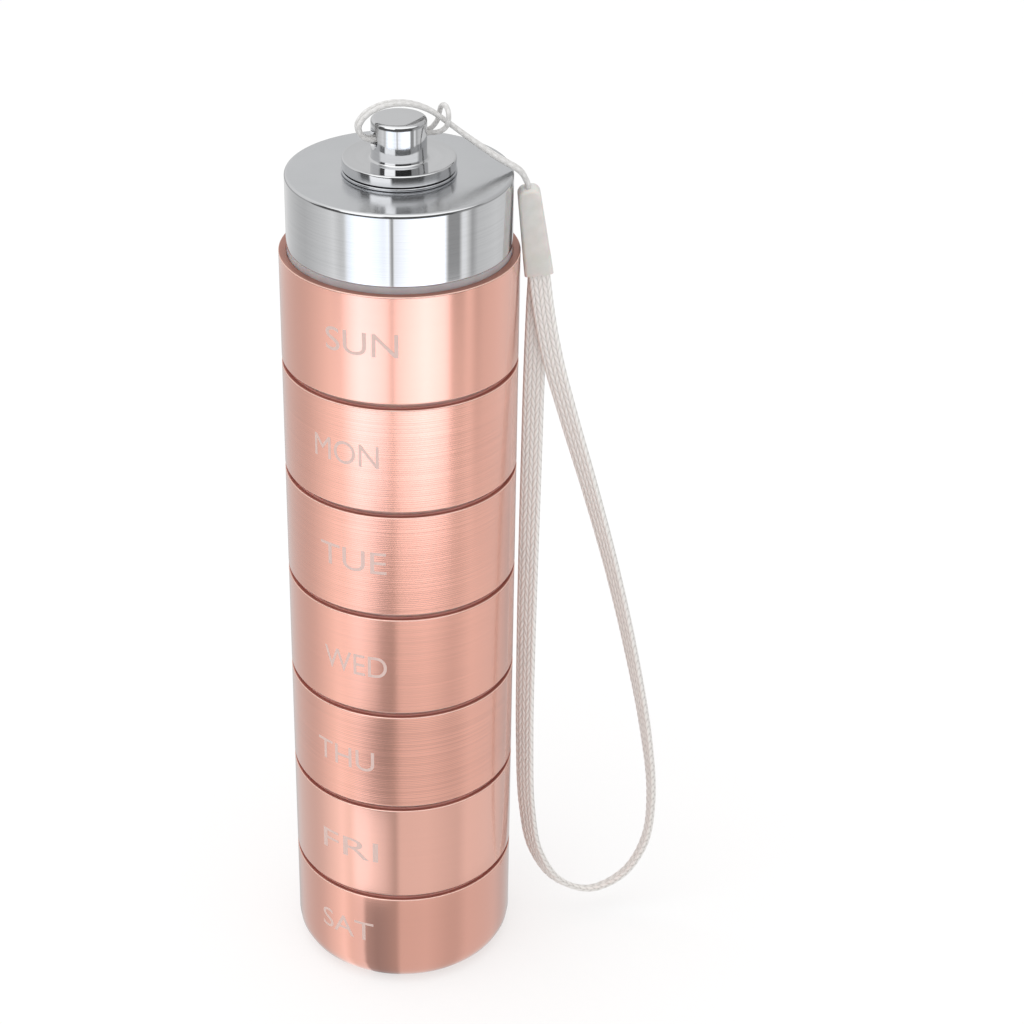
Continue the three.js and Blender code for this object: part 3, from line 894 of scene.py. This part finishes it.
# Post screw. A pan head machine screw in plated steel, driven up into the post's shank from
# inside the cap. Its head holds the post in the cap's hole.

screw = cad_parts["post_screw"]
screw.data.materials.clear()
screw.data.materials.append(steel_finish)


# Day names. Plain capitals, marked through the rose colour down to the bare grey metal, one
# name on the front of each cup, left of its middle.

word_depth = 0.014
word_height = 2.95
word_strips = 36
# Where each name's middle is round the cup, how far below the rim, and its width
words = {
    "sun": (-18.9, -6.2, 8.8), "mon": (-28.0, -6.4, 8.5), "tue": (-25.3, -6.5, 8.7),
    "wed": (-25.0, -7.1, 8.4), "thu": (-31.7, -7.15, 8.2), "fri": (-30.1, -7.0, 8.1),
    "sat": (-32.6, -5.95, 7.8),
}

mark_finish, tree, shader = finish_named("marked_metal", metallic=0.35, roughness=0.6)
place = step_node(tree, "TexCoord", output="Object")
speck = step_node(tree, "TexNoise", [place, None, 12000.0, 2.0])
paint(tree, shader, speck, [(0.3, (0.70, 0.52, 0.465)), (0.7, (0.80, 0.595, 0.54))])
bump(tree, shader, speck, 0.01 * mm, 0.5)

for day, (azimuth, below, width) in words.items():
    lettering = bpy.data.curves.new("letters_" + day, "FONT")
    lettering.body = day.upper()
    lettering.align_x = "CENTER"
    lettering.extrude = word_depth / 2
    written = bpy.data.objects.new("letters_" + day, lettering)
    bpy.context.scene.collection.objects.link(written)
    shaped = written.evaluated_get(bpy.context.evaluated_depsgraph_get())
    flat = bpy.data.meshes.new_from_object(shaped)
    bpy.data.objects.remove(written)
    shape = bmesh.new()
    shape.from_mesh(flat)
    bpy.data.meshes.remove(flat)
    bmesh.ops.remove_doubles(shape, verts=shape.verts, dist=1e-5)
    low = [min(v.co[k] for v in shape.verts) for k in range(2)]
    high = [max(v.co[k] for v in shape.verts) for k in range(2)]
    for vertex in shape.verts:
        vertex.co.x = ((vertex.co.x - low[0]) / (high[0] - low[0]) - 0.5) * width
        vertex.co.y = ((vertex.co.y - low[1]) / (high[1] - low[1]) - 0.5) * word_height
    for cut_at in range(1, word_strips):
        bmesh.ops.bisect_plane(
            shape, geom=shape.verts[:] + shape.edges[:] + shape.faces[:],
            plane_co=((cut_at / word_strips - 0.5) * width, 0, 0), plane_no=(1, 0, 0), dist=1e-6,
        )
    rim = base_height + cup_pitch * days.index(day)
    for vertex in shape.verts:
        angle = math.radians(azimuth) + vertex.co.x / cup_radius
        radius = cup_radius + vertex.co.z
        height = rim + below + vertex.co.y
        vertex.co = (radius * math.sin(angle) * mm, -radius * math.cos(angle) * mm, height * mm)
    day_name = made_object("day_name_" + day, shape)
    day_name.data.shade_flat()
    day_name.data.materials.append(mark_finish)
    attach(day_name, "cup_" + day)


# Floor and light. A plain white floor under soft light from above. What the polished metal sees
# of the floor and the sky has the bright fields and dark strips of a studio's reflectors.

floor_radius = 3.0
shape = bmesh.new()
bmesh.ops.create_circle(shape, segments=96, radius=floor_radius, cap_ends=True)
floor = made_object("studio_floor", shape)
floor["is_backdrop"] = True

# Each field is what the metal sees along one ring of the floor: places on the cups' wall, in
# degrees from the front, and how much light comes to them
left_side = [
    (-90, 0.58), (-80, 0.67), (-60, 0.64), (-55, 0.65), (-50, 0.71), (-40, 0.95), (-35, 1.09),
]
far_fields = [
    *left_side, (-31, 1.15), (-29, 1.15), (-27, 1.4), (-20, 1.88), (-8, 1.78), (-5.5, 1.58),
    (-4.1, 0.74), (-3.2, 0.74), (-2.8, 1.55), (5, 1.84), (12, 2.04), (23, 1.7), (25, 0.87),
    (31, 0.86), (33, 0.94), (35, 0.94), (39, 0.65), (43, 0.76), (57, 0.82), (67, 0.72),
    (77, 0.58), (90, 0.58),
]
cap_cards = {
    -90: 0.7, -80: 0.86, -60: 0.66, -40: 0.87, -35: 1.0, -31: 0.82, -29: 0.84, -27: 1.3,
    -8: 1.4, -4.1: 0.45, -3.2: 0.45, -2.8: 1.3, 5: 1.65, 25: 0.41, 31: 0.41, 33: 1.1, 35: 1.1,
    39: 0.5, 57: 0.86, 67: 0.78, 77: 0.66, 90: 0.7,
}
cap_fields = [(turn, cap_cards.get(turn, light)) for turn, light in far_fields]
beyond_fields = [(-90, 0.5), (-50, 0.5), (-46, 0.12), (26, 0.12), (32, 0.45), (90, 0.5)]
middle_fields = [
    *left_side, (-30, 1.09), (-22, 1.2), (-15, 0.94), (-10, 0.51), (-4.5, 0.41), (-2, 0.8),
    (12, 0.88), (25, 0.68), (30, 0.74), (37, 0.86), (50, 0.79), (60, 0.7), (70, 0.54), (90, 0.58),
]
thursday_fields = [
    *left_side, (-30, 1.03), (-24, 0.93), (-15, 0.46), (-10, 0.38), (-4.5, 0.43), (-2, 0.75),
    (12, 0.8), (25, 0.67), (30, 0.69), (37, 0.81), (50, 0.76), (60, 0.68), (70, 0.56), (90, 0.58),
]
friday_fields = [
    *left_side, (-30, 0.98), (-26, 1.22), (-20, 1.18), (-10, 0.8), (-4.5, 0.5), (-2, 0.78),
    (12, 0.8), (25, 0.71), (30, 0.68), (36, 0.81), (50, 0.78), (60, 0.72), (70, 0.58), (90, 0.58),
]
foot_fields = [
    *left_side, (-30, 0.9), (-23, 0.9), (-21, 0.44), (-15, 0.35), (-10, 0.39), (-4.5, 0.47),
    (-2, 0.71), (12, 0.74), (25, 0.62), (30, 0.62), (37, 0.73), (60, 0.7), (70, 0.6), (90, 0.58),
]
# The rings, from the foot outwards, and the distances in metres over which each one takes over
floor_rings = [
    (foot_fields, 0, 0), (friday_fields, 0.030, 0.0325), (thursday_fields, 0.050, 0.053),
    (middle_fields, 0.067, 0.085), (far_fields, 0.108, 0.178), (cap_fields, 0.222, 0.234),
    (beyond_fields, 0.30, 0.36),
]
field_top = 2.5
plain_tint = (0.87, 0.87, 0.87)
left_tint = (0.87, 0.90, 0.93)
floor_white = 0.96
floor_own_light = 0.62
field_gain = 1.2


def turn_from_front(tree, parts):
    """How far round the upright axis a place or a direction is, in radians from the front."""
    toward = step_node(tree, "Math", [parts[1], -1.0], operation="MULTIPLY")
    return step_node(tree, "Math", [parts[0], toward], operation="ARCTAN2")


floor_finish = bpy.data.materials.new("floor_white")
floor_finish.use_nodes = True
tree = floor_finish.node_tree
tree.nodes.clear()
place = step_node(tree, "TexCoord", output="Object")
around = turn_from_front(tree, split(tree, place))
distance = step_node(tree, "VectorMath", [place], operation="LENGTH", output="Value")
wall_share = step_node(tree, "Math", [cup_radius * mm, distance], operation="DIVIDE")
times = step_node(tree, "Math", [2.0, wall_share], operation="SUBTRACT")
on_wall = step_node(tree, "Math", [around, times], operation="DIVIDE")
share = step_node(tree, "Math", [on_wall, 1 / math.pi, 0.5], operation="MULTIPLY_ADD")
seen_field = None
for fields, inner, outer in floor_rings:
    stops = [((turn + 90) / 180, light / field_top) for turn, light in fields]
    ring_field = ramp(tree, share, stops)
    if seen_field:
        beyond = step_node(
            tree, "MapRange", [distance, inner, outer, 0.0, 1.0],
            interpolation_type="SMOOTHSTEP",
        )
        ring_field = blend(tree, beyond, seen_field, ring_field)
    seen_field = ring_field
cool = ramp(tree, seen_field, [(0.4, (0.833, 0.833, 0.833)), (0.8, (0.833, 0.883, 1.0))])
tinted = blend(tree, 1.0, seen_field, cool, "MULTIPLY")
side_tint = ramp(tree, share, [
    ((turn + 90) / 180, tint)
    for turn, tint in ((-30, plain_tint), (-24, left_tint), (-12, left_tint), (-5, plain_tint))
])
tinted = blend(tree, 1.0, tinted, side_tint, "MULTIPLY")
seen = step_node(tree, "Emission", [tinted, field_top * field_gain / plain_tint[0]])
matt = step_node(tree, "BsdfDiffuse", [(floor_white, floor_white, floor_white, 1)])
glow = step_node(tree, "Emission")
plain = step_node(tree, "MixShader", [floor_own_light, matt, glow])
mirrored = step_node(tree, "LightPath", output="Is Glossy Ray")
either = step_node(tree, "MixShader", [mirrored, plain, seen])
surface = tree.nodes.new("ShaderNodeOutputMaterial")
tree.links.new(either, surface.inputs[0])
floor.data.materials.append(floor_finish)

world = bpy.data.worlds.new("studio")
bpy.context.scene.world = world
world.use_nodes = True
tree = world.node_tree
tree.nodes.clear()
parts = split(tree, step_node(tree, "TexCoord", output="Generated"))
height = parts[2]
sky_top = 2.2
room_light = 0.85
card_foot, card_rise = 0.12, 0.2
card_fall, card_head = 0.42, 0.48
over_cards = (0.72, 0.72, 0.72, 1)
back_stops = [(0.0, 0.34), (0.35, 0.38), (0.6, 0.38), (0.8, 0.42), (1.0, 0.58)]
back_sky = ramp(tree, height, back_stops)
darker_right = step_node(tree, "MapRange", [parts[0], -0.4, 0.4, 1.1, 0.8])
back_sky = step_node(tree, "Math", [back_sky, darker_right], operation="MULTIPLY")
around = turn_from_front(tree, parts)
share = step_node(tree, "Math", [around, 1 / (2 * math.pi), 0.5], operation="MULTIPLY_ADD")
front_cards = [
    (-180, 0.8), (-110, 0.55), (-84, 0.5), (-80, 0.12), (-62, 0.12), (-58, 2.1), (-18, 2.1),
    (-14, 0.05), (48, 0.05), (52, 0.45), (80, 0.5), (84, 0.25), (90, 0.25), (94, 0.5), (180, 0.8),
]
card_stops = [((turn + 180) / 360, light / sky_top) for turn, light in front_cards]
cards = ramp(tree, share, card_stops)
front_low = step_node(tree, "MapRange", [height, card_foot, card_rise, 0.06, 0.0])
card_band = step_node(tree, "MapRange", [height, card_foot, card_rise, 0.0, 1.0])
front_sky = step_node(tree, "Math", [cards, card_band, front_low], operation="MULTIPLY_ADD")
over = step_node(tree, "MapRange", [height, card_fall, card_head, 0.0, 1.0])
front_sky = blend(tree, over, front_sky, over_cards)
front = step_node(tree, "MapRange", [parts[1], 0.05, -0.15, 0.0, 1.0])
sky = blend(tree, front, back_sky, front_sky)
path = tree.nodes.new("ShaderNodeLightPath")
mirrored = step_node(tree, "Background", [sky, sky_top])
even_light = step_node(tree, "Background", [(1, 1, 1, 1), room_light])
white = step_node(tree, "Background", [(1, 1, 1, 1)])
lit = step_node(tree, "MixShader", [path.outputs["Is Glossy Ray"], even_light, mirrored])
all_seen = step_node(tree, "MixShader", [path.outputs["Is Camera Ray"], lit, white])
surface = tree.nodes.new("ShaderNodeOutputWorld")
tree.links.new(all_seen, surface.inputs[0])

softbox = bpy.data.objects.new("softbox", bpy.data.lights.new("softbox", "AREA"))
softbox.data.shape = "SQUARE"
softbox.data.size = 1.4
softbox.data.energy = 6.5
softbox_place = Vector((-0.3, -0.25, 1.2))
lit_point = Vector((0, 0, 0.05))
softbox.location = softbox_place
softbox.rotation_euler = (lit_point - softbox_place).to_track_quat("-Z", "Y").to_euler()
softbox.visible_glossy = False
bpy.context.scene.collection.objects.link(softbox)

bpy.context.scene.view_settings.view_transform = "Standard"

low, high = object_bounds()
